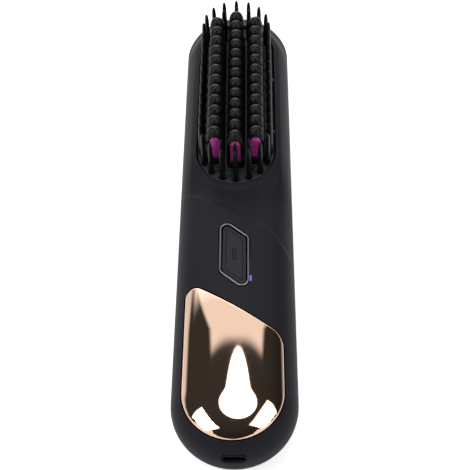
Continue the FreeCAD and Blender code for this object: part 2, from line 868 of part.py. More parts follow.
def comb_profile(near, far, teeth):
    """Prism across X that has a comb's outline seen from the side: round teeth over a straight wall."""
    half = tooth_length / 2
    shoulder = comb_top - half
    side = -comb_width
    edges = [Part.makeLine(v(side, near, plate_bottom), v(side, near, shoulder))]
    for index in range(teeth):
        y = near + half + comb_pitch * index
        end = v(side, y + half, shoulder)
        edges.append(Part.Arc(v(side, y - half, shoulder), v(side, y, comb_top), end).toShape())
        if index < teeth - 1:
            following = y + comb_pitch - half
            edges.append(Part.makeLine(end, v(side, end.y, comb_valley)))
            edges.append(Part.makeLine(v(side, end.y, comb_valley), v(side, following, comb_valley)))
            edges.append(Part.makeLine(v(side, following, comb_valley), v(side, following, shoulder)))
    edges.append(Part.makeLine(v(side, far, shoulder), v(side, far, plate_bottom)))
    edges.append(Part.makeLine(v(side, far, plate_bottom), v(side, near, plate_bottom)))
    return Part.Face(Part.Wire(edges)).extrude(v(2 * comb_width, 0, 0))


def comb_cover(x, middle, teeth):
    """Scalloped cover over one heating fin, open along the fin's ends."""
    near, far = comb_span(middle, teeth)
    half = comb_width / 2
    spring = comb_top - comb_crown_height
    arch = Part.Ellipse(v(0, near, comb_top), v(half, near, spring), v(0, near, spring))
    section = [
        Part.Arc(arch, -math.pi / 2, math.pi / 2).toShape(),
        Part.makeLine(v(-half, near, spring), v(-half, near, plate_bottom)),
        Part.makeLine(v(-half, near, plate_bottom), v(half, near, plate_bottom)),
        Part.makeLine(v(half, near, plate_bottom), v(half, near, spring)),
    ]
    bar = Part.Face(Part.Wire(Part.__sortEdges__(section))).extrude(v(0, far - near + 2 * overrun, 0))
    bar.translate(v(0, -overrun, 0))
    bar = bar.common(comb_profile(near, far, teeth))
    side = plinth_width / 2
    corners = [
        v(-side, near - plinth_reach, 0),
        v(side, near - plinth_reach, 0),
        v(side, far, 0),
        v(-side, far, 0),
    ]
    plinth = rounded_prism(corners, [plinth_round] * len(corners), plate_top, plinth_top)
    fin_near, fin_far = fin_span(middle, teeth)
    gap = channel_width / 2
    channel = block(-gap, gap, fin_near - comb_fit, fin_far + comb_fit, plate_bottom - overrun, fin_top + comb_fit)
    return bar.fuse(plinth).cut(channel).removeSplitter().translated(v(x, 0, 0))


def comb_cover_left():
    return comb_cover(*comb_rows()[0])


def comb_cover_centre():
    return comb_cover(*comb_rows()[1])


def comb_cover_right():
    return comb_cover(*comb_rows()[2])


def heating_plate():
    plate = stadium(heat_plate_radius, heater_near, heater_far, heat_plate_bottom, heat_plate_top)
    fins = []
    for x, middle, teeth in comb_rows():
        near, far = fin_span(middle, teeth)
        half = fin_width / 2
        shoulder = fin_top - half
        fins.append(block(x - half, x + half, near, far, heat_plate_bottom, shoulder))
        fins.append(rod(x, shoulder, near, far, half))
    return plate.fuse(fins).removeSplitter()


def ceramic_heaters():
    half = ceramic_width / 2
    near = block(-half, half, stack_near, stack_near + ceramic_length, ceramic_bottom, heat_plate_bottom)
    far = block(-half, half, stack_far - ceramic_length, stack_far, ceramic_bottom, heat_plate_bottom)
    return group([near, far])


def mica_sheet():
    half = ceramic_width / 2 + mica_margin
    return block(-half, half, stack_near - mica_margin, stack_far + mica_margin, mica_bottom, ceramic_bottom)


def pressure_plate():
    half = ceramic_width / 2 + mica_margin
    return block(-half, half, stack_near - mica_margin, stack_far + mica_margin, clamp_bottom, mica_bottom)


def heater_tray():
    tray = stadium(heat_plate_radius, heater_near, heater_far, tray_bottom, heat_plate_bottom)
    ears = []
    holes = []
    ear_bottom = ledge_bottom - tray_ear_thickness
    reach = heat_plate_radius + tray_ear_reach
    for y in ear_places():
        near = y - tray_ear_length / 2
        ears.append(block(-reach, reach, near, near + tray_ear_length, ear_bottom, ledge_bottom))
        for side in (-1, 1):
            holes.append(post(side * heater_screw_x, y, ear_bottom - overrun, ledge_bottom + overrun,
                              screw_radius + screw_clearance))
    tray = tray.fuse(ears)
    well = stadium(heat_plate_radius - tray_wall, heater_near, heater_far, clamp_bottom, heat_plate_bottom)
    for side in (-1, 1):
        holes.append(rod(side * heater_lead_x, heater_lead_z, head_near - opening_radius, stack_near,
                         heater_lead_radius + heater_lead_room))
    return tray.cut([well] + holes).removeSplitter()


def heat_shield():
    return stadium(heat_plate_radius, heater_near, heater_far, tray_bottom - shield_thickness, tray_bottom)


def thermal_fuse():
    z = heat_plate_bottom - fuse_radius - seat_fit
    half = fuse_length / 2
    return rod(side_part_x, z, head_middle - half, head_middle + half, fuse_radius)


def temperature_sensor():
    z = heat_plate_bottom - sensor_radius - seat_fit
    half = sensor_length / 2
    bead = Part.makeSphere(sensor_radius, v(-side_part_x, head_middle + half, z))
    return rod(-side_part_x, z, head_middle - half, head_middle + half, sensor_radius).fuse(bead).removeSplitter()


def heater_screws():
    seat = ledge_bottom - tray_ear_thickness
    screws = []
    for side in (-1, 1):
        for y in ear_places():
            screws.append(screw(side * heater_screw_x, y, seat, heater_screw_length, heater_screw_head_radius,
                                heater_screw_head_height, -1))
    return group(screws)


def housing_screws():
    screws = []
    for y in head_screw_places:
        screws.append(screw(0, y, head_screw_seat, screw_length_head, screw_head_radius, screw_head_height, 1))
    for side in (-1, 1):
        screws.append(screw(side * handle_screw_x, handle_screw_y, handle_screw_seat, screw_length_handle,
                            screw_head_radius, screw_head_height, 1))
    return group(screws)


def battery_cell(side):
    """Cylindrical cell with a crimp groove near its positive end."""
    x = side * cell_x
    cell = rod(x, cell_z, cell_near, cell_far, cell_radius)
    cell = cell.makeFillet(cell_edge_round, [edge for edge in cell.Edges if edge.Closed])
    crimp = cell_near + cell_crimp_inset if side > 0 else cell_far - cell_crimp_inset - cell_crimp_width
    band = rod(x, cell_z, crimp, crimp + cell_crimp_width, cell_radius + overrun)
    return cell.cut(band.cut(rod(x, cell_z, crimp, crimp + cell_crimp_width, cell_radius - cell_crimp_depth)))


def battery_cell_left():
    return battery_cell(-1)


def battery_cell_right():
    return battery_cell(1)


def battery_cradle():
    near = cell_near + cradle_end_inset
    far = cell_far - cradle_end_inset
    tray = capsule(lower_half(wall + seat_fit))
    tray = tray.common(block(-cell_reach, cell_reach, near, far, 0, cell_z - cradle_below_axis))
    cells = [rod(side * cell_x, cell_z, near - overrun, far + overrun, cell_radius + seat_fit) for side in (-1, 1)]
    return tray.cut(cells)


def battery_link():
    return block(-link_half_width, link_half_width, cell_near - tab_thickness, cell_near,
                 cell_z - link_below, cell_z + link_above)


def battery_tabs():
    tabs = []
    for side in (-1, 1):
        left = side * cell_x - tab_width / 2
        blade = block(left, left + tab_width, cell_far, cell_far + tab_thickness, cell_z - tab_reach, board_bottom)
        foot = block(left, left + tab_width, cell_far, board_near + tab_foot, board_bottom - tab_thickness, board_bottom)
        tabs.append(blade.fuse(foot).removeSplitter())
    return group(tabs)


def battery_pads():
    pads = []
    low = cell_z + cell_radius + cell_pad_gap
    for side in (-1, 1):
        left = side * cell_x - cell_pad_width / 2
        pads.append(block(left, left + cell_pad_width, cell_near + cell_pad_near_inset,
                          cell_far - cell_pad_far_inset, low, low + cell_pad_thickness))
    return group(pads)


def circuit_board():
    half = board_width / 2
    board = block(-half, half, board_near, board_far, board_bottom, board_top)
    holes = []
    for side in (-1, 1):
        for y in board_post_places:
            holes.append(post(side * board_post_x, y, board_bottom - overrun, board_top + overrun,
                              screw_radius + screw_clearance))
    return board.cut(holes)


def board_screws():
    screws = []
    for side in (-1, 1):
        for y in board_post_places:
            screws.append(screw(side * board_post_x, y, board_top, board_screw_length, screw_head_radius,
                                screw_head_height, 1))
    return group(screws)


def controller_chip():
    half = chip_size / 2
    y = board_far - chip_from_far
    return block(chip_x - half, chip_x + half, y - half, y + half, board_top, board_top + chip_height)


def filter_coil():
    half = coil_size / 2
    y = board_far - chip_from_far
    corners = [v(-chip_x - half, y - half, 0), v(-chip_x + half, y - half, 0),
               v(-chip_x + half, y + half, 0), v(-chip_x - half, y + half, 0)]
    return rounded_prism(corners, [coil_round] * len(corners), board_top, board_top + coil_height)


def power_transistors():
    half = transistor_width / 2
    y = board_far - transistor_from_far
    near = y - transistor_length / 2
    cases = []
    for side in (-1, 1):
        x = side * transistor_x
        cases.append(block(x - half, x + half, near, near + transistor_length, board_top, board_top + transistor_height))
    return group(cases)


def capacitors():
    y = board_far - capacitor_from_far
    low = board_bottom - capacitor_height
    return group([post(side * capacitor_x, y, low, board_bottom, capacitor_radius) for side in (-1, 1)])


def charge_connector():
    near = board_near + connector_inset
    half = connector_width / 2
    return block(-half, half, near, near + connector_length, board_bottom - connector_height, board_bottom)


def charging_board():
    half = charge_board_width / 2
    far = cell_near - charge_board_setback
    board = block(-half, half, far - charge_board_length, far, charge_board_bottom, charge_board_top)
    pins = [post(side * charge_post_x, charge_post_y(), charge_board_bottom, charge_board_top,
                 charge_pin_radius + seat_fit) for side in (-1, 1)]
    return board.cut(pins)


def socket_mouth():
    """Y of the socket's mouth, just inside the round end of the handle."""
    reach = math.sqrt(face_corner_radius ** 2 - socket_above_seam ** 2)
    return -end_centre - (end_radius - face_corner_radius) - reach + socket_recess


def charging_socket_shell():
    mouth = socket_mouth()
    outside = long_slot(socket_width, socket_height, socket_z, mouth, mouth + socket_length)
    inside = long_slot(socket_width - 2 * socket_wall, socket_height - 2 * socket_wall, socket_z,
                       mouth - overrun, mouth + socket_length + overrun)
    return outside.cut(inside)


def charging_socket_tongue():
    back = socket_mouth() + socket_length
    width = socket_width - 2 * socket_wall - 2 * screw_fit
    height = socket_height - 2 * socket_wall - 2 * screw_fit
    base = long_slot(width, height, socket_z, back - socket_block, back)
    half = tongue_width / 2
    rise = tongue_thickness / 2
    blade = block(-half, half, socket_mouth() + tongue_setback, back, socket_z - rise, socket_z + rise)
    return base.fuse(blade).removeSplitter()


def charging_leads():
    near = cell_near - charge_board_setback - lead_overlap
    far = board_near + connector_inset
    half = lead_spacing / 2
    return group([rod(side * half, lead_z, near, far, lead_radius) for side in (-1, 1)])


def heater_leads():
    return group([rod(side * heater_lead_x, heater_lead_z, board_far, stack_near, heater_lead_radius)
                  for side in (-1, 1)])


pieces = [
    front_housing, rear_housing, rest_feet, handle_panel, button_bezel, power_button, switch_plunger, switch_body,
    indicator_light_pipe, indicator_led, bristle_plate, bristle_pins, comb_cover_left, comb_cover_centre,
    comb_cover_right, heating_plate, ceramic_heaters, mica_sheet, pressure_plate, heater_tray, heat_shield,
    thermal_fuse, temperature_sensor, heater_screws, housing_screws, battery_cell_left, battery_cell_right,
    battery_cradle, battery_link, battery_tabs, battery_pads, circuit_board, board_screws, controller_chip,
    filter_coil, power_transistors, capacitors, charge_connector, charging_board, charging_socket_shell,
    charging_socket_tongue, charging_leads, heater_leads,
]
os.makedirs("parts", exist_ok=True)
for piece in pieces:
    piece().exportStep("parts/" + piece.__name__ + ".step")
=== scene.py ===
import math

import bmesh
import bpy
from mathutils import Matrix, Vector


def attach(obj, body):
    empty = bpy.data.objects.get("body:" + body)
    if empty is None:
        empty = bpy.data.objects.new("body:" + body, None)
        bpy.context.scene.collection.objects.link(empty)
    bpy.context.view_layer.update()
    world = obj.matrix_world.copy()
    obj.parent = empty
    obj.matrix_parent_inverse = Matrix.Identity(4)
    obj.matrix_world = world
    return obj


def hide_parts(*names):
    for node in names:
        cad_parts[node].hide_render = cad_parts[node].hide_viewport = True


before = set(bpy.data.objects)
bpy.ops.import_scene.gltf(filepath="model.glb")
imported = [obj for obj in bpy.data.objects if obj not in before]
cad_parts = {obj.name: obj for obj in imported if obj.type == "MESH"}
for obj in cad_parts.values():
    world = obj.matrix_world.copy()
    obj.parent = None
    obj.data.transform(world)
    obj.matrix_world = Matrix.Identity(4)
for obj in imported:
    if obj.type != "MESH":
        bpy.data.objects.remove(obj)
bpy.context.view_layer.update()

# Rear housing: the lower half of the shell, a long trough with round ends and a flat back.
# It is moulded plastic under a dark soft-touch paint, and everything inside is fixed to it.
mm = 0.001
same_place = 0.001
body_half_width = 23.5
body_reach = 88.9
seam_height = 12.5
seam_bevel = 0.25
shell_wall = 2.0
back_height = 0.3
back_round = 12.2
grain_depth = 0.05


def verts_of(geometry):
    return [part for part in geometry if isinstance(part, bmesh.types.BMVert)]


def edges_of(geometry):
    return [part for part in geometry if isinstance(part, bmesh.types.BMEdge)]


def draw_line(bm, starts, step):
    """Draws a straight edge from each corner and gives back the far ends."""
    ends = bmesh.ops.extrude_vert_indiv(bm, verts=starts)["verts"]
    bmesh.ops.translate(bm, verts=ends, vec=step)
    return ends


def draw_arc(bm, starts, centre, axis, angle, steps):
    """Draws an arc from each corner and gives back the far ends."""
    arc = bmesh.ops.spin(bm, geom=starts, cent=centre, axis=axis, angle=angle, steps=steps)
    return verts_of(arc["geom_last"])


def pull_along(bm, edges, step):
    """Pulls edges along the body and gives back what they end in."""
    grown = bmesh.ops.extrude_edge_only(bm, edges=edges)["geom"]
    fresh = verts_of(grown)
    bmesh.ops.translate(bm, verts=fresh, vec=(0, step, 0))
    kept = set(fresh)
    return [edge for edge in edges_of(grown) if kept.issuperset(edge.verts)] + fresh


def length_along(edge):
    return abs(edge.verts[0].co.y - edge.verts[1].co.y)


def divide_along(bm, length, steps):
    """Divides the edges that run the whole length into steps."""
    long_edges = [edge for edge in bm.edges if length_along(edge) > length - same_place]
    bmesh.ops.subdivide_edges(bm, edges=long_edges, cuts=steps - 1, use_grid_fill=True)


def carry_round(bm, near, far, end_steps, side_steps):
    """Carries the profile that stands on the right at far round both ends and along both sides."""
    profile = list(bm.verts) + list(bm.edges)
    for centre, step in ((far, near - far), (near, far - near)):
        turned = bmesh.ops.spin(
            bm, geom=profile, cent=(0, centre, 0), axis=(0, 0, 1), angle=math.pi, steps=end_steps
        )
        profile = pull_along(bm, edges_of(turned["geom_last"]), step)
    bmesh.ops.remove_doubles(bm, verts=bm.verts, dist=same_place)
    divide_along(bm, far - near, side_steps)


def smooth_by_angle(mesh, degrees):
    mesh.shade_smooth()
    mesh.set_sharp_from_angle(angle=math.radians(degrees))


def put(bm, name, material, nodes, body="housing", degrees=35):
    """Turns a mesh drawn in millimetres into a piece that rides on a body in place of CAD nodes."""
    bmesh.ops.scale(bm, vec=(mm, mm, mm), verts=bm.verts)
    bmesh.ops.recalc_face_normals(bm, faces=bm.faces)
    mesh = bpy.data.meshes.new(name)
    bm.to_mesh(mesh)
    bm.free()
    smooth_by_angle(mesh, degrees)
    mesh.materials.append(material)
    piece = bpy.data.objects.new(name, mesh)
    bpy.context.collection.objects.link(piece)
    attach(piece, body)
    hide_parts(*nodes)
    return piece


def thicken(piece, wall):
    """Gives a sheet a wall that grows inwards."""
    solid = piece.modifiers.new("wall", "SOLIDIFY")
    solid.thickness = wall * mm
    solid.offset = -1
    solid.use_even_offset = True


def new_group(name, inputs, outputs):
    group = bpy.data.node_groups.new(name, "ShaderNodeTree")
    for label, value in inputs.items():
        socket = group.interface.new_socket(label, in_out="INPUT", socket_type="NodeSocketFloat")
        socket.default_value = value
    for label in outputs:
        group.interface.new_socket(label, in_out="OUTPUT", socket_type="NodeSocketFloat")
    return group, group.nodes.new("NodeGroupInput"), group.nodes.new("NodeGroupOutput")


# Shared by most finishes: slow clouds of tone, and the fine grain of a mould or of paint
grain_group, ends_in, ends_out = new_group(
    "mould_grain", {"Cloud Scale": 60, "Grain Scale": 4000}, ("Cloud", "Grain")
)
place = grain_group.nodes.new("ShaderNodeTexCoord")
for label, detail in (("Cloud", 3), ("Grain", 2)):
    noise = grain_group.nodes.new("ShaderNodeTexNoise")
    noise.inputs["Detail"].default_value = detail
    grain_group.links.new(place.outputs["Object"], noise.inputs["Vector"])
    grain_group.links.new(ends_in.outputs[label + " Scale"], noise.inputs["Scale"])
    grain_group.links.new(noise.outputs["Fac"], ends_out.inputs[label])


def finish(
    name, colour, rough, metal=0.0, shine=0.5, vary=0.12, rough_vary=0.06, cloud=60, grain=4000, bump=0.05
):
    """A material whose tone and roughness drift in soft clouds over a fine moulded grain."""
    material = bpy.data.materials.new(name)
    material.use_nodes = True
    tree = material.node_tree
    surface = tree.nodes["Principled BSDF"]
    mould = tree.nodes.new("ShaderNodeGroup")
    mould.node_tree = grain_group
    mould.inputs["Cloud Scale"].default_value = cloud
    mould.inputs["Grain Scale"].default_value = grain
    tone = tree.nodes.new("ShaderNodeMix")
    tone.data_type = "RGBA"
    tone.name = "tone"
    tone.inputs["A"].default_value = tuple(part * (1 - vary) for part in colour) + (1,)
    tone.inputs["B"].default_value = tuple(part * (1 + vary) for part in colour) + (1,)
    tree.links.new(mould.outputs["Cloud"], tone.inputs["Factor"])
    tree.links.new(tone.outputs["Result"], surface.inputs["Base Color"])
    gloss = tree.nodes.new("ShaderNodeMapRange")
    gloss.inputs["To Min"].default_value = rough - rough_vary
    gloss.inputs["To Max"].default_value = rough + rough_vary
    tree.links.new(mould.outputs["Cloud"], gloss.inputs["Value"])
    tree.links.new(gloss.outputs["Result"], surface.inputs["Roughness"])
    relief = tree.nodes.new("ShaderNodeBump")
    relief.inputs["Strength"].default_value = bump
    relief.inputs["Distance"].default_value = grain_depth * mm
    tree.links.new(mould.outputs["Grain"], relief.inputs["Height"])
    tree.links.new(relief.outputs["Normal"], surface.inputs["Normal"])
    surface.inputs["Metallic"].default_value = metal
    surface.inputs["Specular IOR Level"].default_value = shine
    return material


soft_touch = finish(
    "soft_touch_paint",
    (0.0106, 0.0098, 0.0149),
    0.5,
    shine=0.13,
    vary=0.06,
    rough_vary=0.03,
    grain=5000,
    bump=0.12,
)

bm = bmesh.new()
back_flat = body_half_width - back_round
middle = bm.verts.new((0, body_reach, back_height))
bend = draw_arc(
    bm,
    draw_line(bm, [middle], (back_flat, 0, 0)),
    centre=(back_flat, body_reach, seam_height),
    axis=(0, 1, 0),
    angle=math.asin(seam_bevel / back_round) - math.pi / 2,
    steps=26,
)
draw_line(bm, bend, (-seam_bevel, 0, seam_bevel))
carry_round(bm, -body_reach, body_reach, end_steps=48, side_steps=24)
rear = put(bm, "rear_shell", soft_touch, ["rear_housing"])
thicken(rear, shell_wall)

# Feet: four rubber discs let into the back, on which the brush lies.
# Moulded rubber, glued into shallow pockets.
rest_x = 7.0
rest_y = 70.0
rest_radius = 3.5
rest_height = 1.1
rest_rim = 0.2
foot_rubber = finish("foot_rubber", (0.03, 0.03, 0.032), 0.75, vary=0.2, grain=2500, bump=0.3)


def round_edges(bm, edges, offset, segments):
    bmesh.ops.bevel(
        bm, geom=edges, offset=offset, segments=segments, profile=0.5, affect="EDGES", material=-1
    )


def edges_among(bm, corners):
    return [edge for edge in bm.edges if edge.verts[0] in corners and edge.verts[1] in corners]


bm = bmesh.new()
for x in (-rest_x, rest_x):
    for y in (-rest_y, rest_y):
        disc = bmesh.ops.create_circle(bm, cap_ends=True, segments=40, radius=rest_radius)["verts"]
        grown = bmesh.ops.extrude_face_region(bm, geom=list(disc[0].link_faces))["geom"]
        bmesh.ops.translate(bm, verts=verts_of(grown), vec=(0, 0, rest_height))
        rim = edges_among(bm, disc)
        bmesh.ops.translate(bm, verts=disc + verts_of(grown), vec=(x, y, 0))
        round_edges(bm, rim, rest_rim, segments=2)
put(bm, "rubber_feet", foot_rubber, ["rest_feet"])

# Battery pack: two cells side by side in a cradle, with nickel strips, tabs and foam pads.
# Wrapped steel cans; the strips are spot welded and the cradle is clipped into the rear housing.


def paint(node, material):
    for holder in bpy.data.objects[node].material_slots:
        holder.material = material


cell_wrap = finish("cell_wrap", (0.03, 0.12, 0.22), 0.32, vary=0.15, cloud=30, grain=1500, bump=0.04)
paint("battery_cell_left", cell_wrap)
paint("battery_cell_right", cell_wrap)
paint("battery_cradle", finish("cradle_plastic", (0.05, 0.05, 0.05), 0.5, grain=2500, bump=0.1))
nickel = finish("nickel_strip", (0.66, 0.64, 0.58), 0.3, metal=1.0, cloud=300, rough_vary=0.12, bump=0.03)
paint("battery_link", nickel)
paint("battery_tabs", nickel)
paint("battery_pads", finish("foam", (0.05, 0.05, 0.05), 0.9, vary=0.3, cloud=900, grain=1800, bump=0.6))

# Circuit board: the main board on four posts, with its chip, coil, transistors, capacitors and connector.
# Glass laminate under green solder mask, screwed down; the parts are soldered on.
mask_green = (0.012, 0.10, 0.04)
mask_light = (0.016, 0.13, 0.05)
mask_track = (0.03, 0.22, 0.09)
laminate = finish("solder_mask", mask_green, 0.35, vary=0.25, cloud=260, grain=1600, bump=0.08)
tree = laminate.node_tree
tracks = tree.nodes.new("ShaderNodeTexBrick")
for label, colour in (("Color1", mask_green), ("Color2", mask_light), ("Mortar", mask_track)):
    tracks.inputs[label].default_value = colour + (1,)
tracks.inputs["Scale"].default_value = 260
tracks.inputs["Mortar Size"].default_value = 0.03
spot = tree.nodes.new("ShaderNodeTexCoord")
tree.links.new(spot.outputs["Object"], tracks.inputs["Vector"])
tree.links.new(tracks.outputs["Color"], tree.nodes["tone"].inputs["B"])
paint("circuit_board", laminate)
epoxy = finish("black_epoxy", (0.012, 0.012, 0.013), 0.42, vary=0.2, grain=6000, bump=0.2)
for node in ("controller_chip", "filter_coil", "power_transistors"):
    paint(node, epoxy)
paint("capacitors", finish("bright_can", (0.62, 0.62, 0.64), 0.25, metal=1.0, cloud=200))
paint("charge_connector", finish("connector_nylon", (0.70, 0.67, 0.58), 0.45))
screw_zinc = finish("screw_zinc", (0.30, 0.30, 0.32), 0.34, metal=1.0, cloud=700, rough_vary=0.14)
paint("board_screws", screw_zinc)

# Heater: ceramic plates pressed under the hot plate, on mica, with a shield, a fuse, a sensor and leads.
# Fired ceramic, mica, steel and resin, screwed together as a stack under the head's opening.
paint("ceramic_heaters", finish("fired_ceramic", (0.80, 0.76, 0.66), 0.4, cloud=400))
paint("mica_sheet", finish("mica", (0.50, 0.41, 0.28), 0.35, vary=0.3, cloud=500, rough_vary=0.15))
steel = finish("plain_steel", (0.55, 0.55, 0.57), 0.35, metal=1.0, cloud=500, rough_vary=0.12)
paint("pressure_plate", steel)
paint("heater_tray", finish("tray_resin", (0.012, 0.011, 0.010), 0.55, grain=2500, bump=0.15))
foil = finish("shield_foil", (0.80, 0.80, 0.82), 0.2, metal=1.0, cloud=900, rough_vary=0.12, bump=0.3)
paint("heat_shield", foil)
paint("thermal_fuse", finish("fuse_lacquer", (0.55, 0.50, 0.36), 0.35))
paint("temperature_sensor", finish("sensor_glass", (0.30, 0.08, 0.015), 0.12))
paint("heater_screws", screw_zinc)
silicone = finish("lead_silicone", (0.30, 0.012, 0.012), 0.5, grain=3000)
paint("heater_leads", silicone)

# Front housing: the crowned upper half of the shell, with a soft crease and a raised collar round the head.
# The same painted plastic as the rear; it is clipped and screwed down along the seam.
# It has an opening for the head, pockets for the bezel and the panel, a light slit and the charging inlet.
face_height = 26.0
face_corner = 12.0
face_start = 0.5
face_full = 6.0
crown_radius = 56.8
head_near = 21.4
head_far = 81.2
opening_radius = 16.6
opening_floor = 20.0
opening_round = 0.35
opening_round_steps = 5
opening_flare = 0.45
opening_over = 2.0
collar_top = 25.2
collar_flat = 17.2
collar_roll = 2.8
collar_side = 18.55
collar_lean = math.radians(51.06)
collar_join = 2.5
shoulder_start = -4.0
shoulder_full = 18.0
crease_middle = -10.1
crease_turn_x = 10.0
crease_turn_radius = 25.0
crease_slant = math.radians(30)
crease_end_slant = math.radians(54)
crease_step = 0.38
crease_step_half = 0.85
crease_drop = 0.5
crease_drop_run = 10.0
fine_above = 15.0
fine_collar = (15.8, 22.2)
fine_crease = (-3.0, 2.0)
panel_slant = math.radians(32.4)
panel_middle = (-0.4, -53.75)
panel_end = 1.1 - body_reach
panel_half = 18.65
panel_right_corner = 9.0
panel_left_corner = 3.9
panel_gap = 0.35
panel_pocket_floor = 12.0
panel_pocket_height = 18.0
bezel_middle = (-0.3, -30.85)
bezel_width = 12.0
bezel_side = 26.6
bezel_slant = math.radians(40)
bezel_corner = 3.1
bezel_gap = 0.3
bezel_pocket_floor = 21.0
bezel_pocket_height = 8.0
slit_size = (0.45, 2.6, 8.0)
slit_middle = (6.28, -41.9, 24.0)
inlet_size = (9.3, 12.0, 3.56)
inlet_middle = (0, -112.0, 17.2)
inlet_round = 1.775


def ease(value, low, high):
    """A soft step from 0 at low to 1 at high."""
    share = min(max((value - low) / (high - low), 0), 1)
    return share * share * (3 - 2 * share)


def head_distance(x, y):
    return math.hypot(x, y - min(max(y, head_near), head_far))


def collar_height(distance):
    if distance < collar_flat:
        return collar_top
    if distance < collar_flat + collar_roll * math.sin(collar_lean):
        return collar_top - collar_roll + math.sqrt(collar_roll**2 - (distance - collar_flat) ** 2)
    inward = min(distance - body_half_width + collar_side, collar_side)
    return seam_height + math.sqrt(collar_side**2 - inward**2)


def way_at(turn):
    """A direction across the crease, turned from straight along the body."""
    return Vector((math.sin(turn), math.cos(turn)))


crease_turn = Vector((crease_turn_x, crease_middle - crease_turn_x * math.tan(crease_slant)))
crease_centre = crease_turn - crease_turn_radius * way_at(crease_slant)


def past_crease(x, y):
    """Distance past the crease, towards the head."""
    away = Vector((x, y)) - crease_centre
    turn = min(max(math.atan2(away.x, away.y), crease_slant), crease_end_slant)
    return away.dot(way_at(turn)) - crease_turn_radius


def soft_higher(one, other, blend):
    near = max(blend - abs(one - other), 0) / blend
    return max(one, other) + near * near * blend / 4


def shape_face(bm):
    """Lowers the face past the crease, and raises it to the shoulder and the collar round the head."""
    for vert in bm.verts:
        x, y, z = vert.co
        lift = ease(z, seam_height + face_start, seam_height + face_full)
        past = past_crease(x, y)
        step = crease_step * ease(past, -crease_step_half, crease_step_half)
        z -= lift * (step + crease_drop * ease(past, 0, crease_drop_run))
        collar = collar_height(head_distance(x, y))
        shoulder = collar_height(math.hypot(x, max(y - head_far, 0)))
        z += lift * ease(y, shoulder_start, shoulder_full) * max(shoulder - z, 0)
        vert.co.z = z + lift * (soft_higher(z, collar, collar_join) - z)


def near_collar(vert):
    inner, outer = fine_collar
    return inner < head_distance(vert.co.x, vert.co.y) < outer and vert.co.z > fine_above


def near_crease(vert):
    before, behind = fine_crease
    return before < past_crease(vert.co.x, vert.co.y) < behind and vert.co.z > fine_above


def round_corner(bm, vert, radius, half_angle, segments):
    """Rounds a flat corner whose sides make twice half_angle."""
    swell = (1 - 1 / (2 * (1 + math.sin(half_angle)))) ** 2
    bmesh.ops.bevel(
        bm,
        geom=[vert],
        offset=radius / math.tan(half_angle),
        offset_type="ABSOLUTE",
        segments=segments,
        profile=swell,
        affect="VERTICES",
        material=-1,
    )


def face_in(bm, known):
    """The one face that isn't among the known ones."""
    return [face for face in bm.faces if face not in known][0]


def slanted_face(bm, grow, z):
    """The button's slanted outline as a flat face."""
    known = set(bm.faces)
    half = bezel_width / 2 + grow
    rise = bezel_side / 2 + grow / math.cos(bezel_slant)
    x, y = bezel_middle
    corners = []
    for across, along in ((-1, -1), (1, -1), (1, 1), (-1, 1)):
        fall = across * half * math.tan(bezel_slant)
        corners.append(bm.verts.new((x + across * half, y + along * rise - fall, z)))
    bm.faces.new(corners)
    for index, vert in enumerate(corners):
        half_angle = (math.pi / 2 + (bezel_slant if index % 2 == 0 else -bezel_slant)) / 2
        round_corner(bm, vert, bezel_corner + grow, half_angle, segments=10)
    return face_in(bm, known)


def panel_face(bm, grow, z):
    """The handle panel's outline as a flat face: a slanted top, straight sides and a round end."""
    known = set(bm.faces)
    half = panel_half + grow
    x, y = panel_middle
    start = bm.verts.new((x - half, panel_end, z))
    right = draw_arc(bm, [start], (x, panel_end, 0), axis=(0, 0, 1), angle=math.pi, steps=64)[0]
    tops = []
    for across in (half, -half):
        fall = across * math.tan(panel_slant) - grow / math.cos(panel_slant)
        tops.append(bm.verts.new((x + across, y - fall, z)))
    bm.edges.new((right, tops[0]))
    bm.edges.new(tops)
    bm.edges.new((tops[1], start))
    loop = [edge for edge in bm.edges if not edge.link_faces]
    bmesh.ops.contextual_create(bm, geom=loop)
    round_corner(bm, tops[0], panel_right_corner + grow, (math.pi / 2 + panel_slant) / 2, segments=12)
    round_corner(bm, tops[1], panel_left_corner + grow, (math.pi / 2 - panel_slant) / 2, segments=12)
    return face_in(bm, known)


def raise_face(bm, face, height):
    """Pulls a flat face up into a solid."""
    grown = bmesh.ops.extrude_face_region(bm, geom=[face])["geom"]
    bmesh.ops.translate(bm, verts=verts_of(grown), vec=(0, 0, height))


def draw_chain(bm, places):
    """Draws edges from place to place and gives back the corners and the edges."""
    chain = [bm.verts.new(place) for place in places]
    return chain + [bm.edges.new(pair) for pair in zip(chain, chain[1:])]


def block(bm, size, middle):
    """A plain block, given back as its corners."""
    corners = bmesh.ops.create_cube(bm, size=1)["verts"]
    bmesh.ops.scale(bm, vec=size, verts=corners)
    bmesh.ops.translate(bm, verts=corners, vec=middle)
    return corners


def cutter_from(bm):
    """A plain object to cut with, thrown away after the cut."""
    bmesh.ops.scale(bm, vec=(mm, mm, mm), verts=bm.verts)
    bmesh.ops.recalc_face_normals(bm, faces=bm.faces)
    mesh = bpy.data.meshes.new("cutter")
    bm.to_mesh(mesh)
    bm.free()
    cutter = bpy.data.objects.new("cutter", mesh)
    bpy.context.collection.objects.link(cutter)
    return cutter


def cut_away(piece, cutter, degrees=35):
    cut = piece.modifiers.new("cut", "BOOLEAN")
    cut.object = cutter
    cut.solver = "EXACT"
    graph = bpy.context.evaluated_depsgraph_get()
    done = bpy.data.meshes.new_from_object(piece.evaluated_get(graph))
    before = piece.data
    piece.modifiers.clear()
    piece.data = done
    bpy.data.meshes.remove(before)
    spent = cutter.data
    bpy.data.objects.remove(cutter)
    bpy.data.meshes.remove(spent)
    smooth_by_angle(done, degrees)


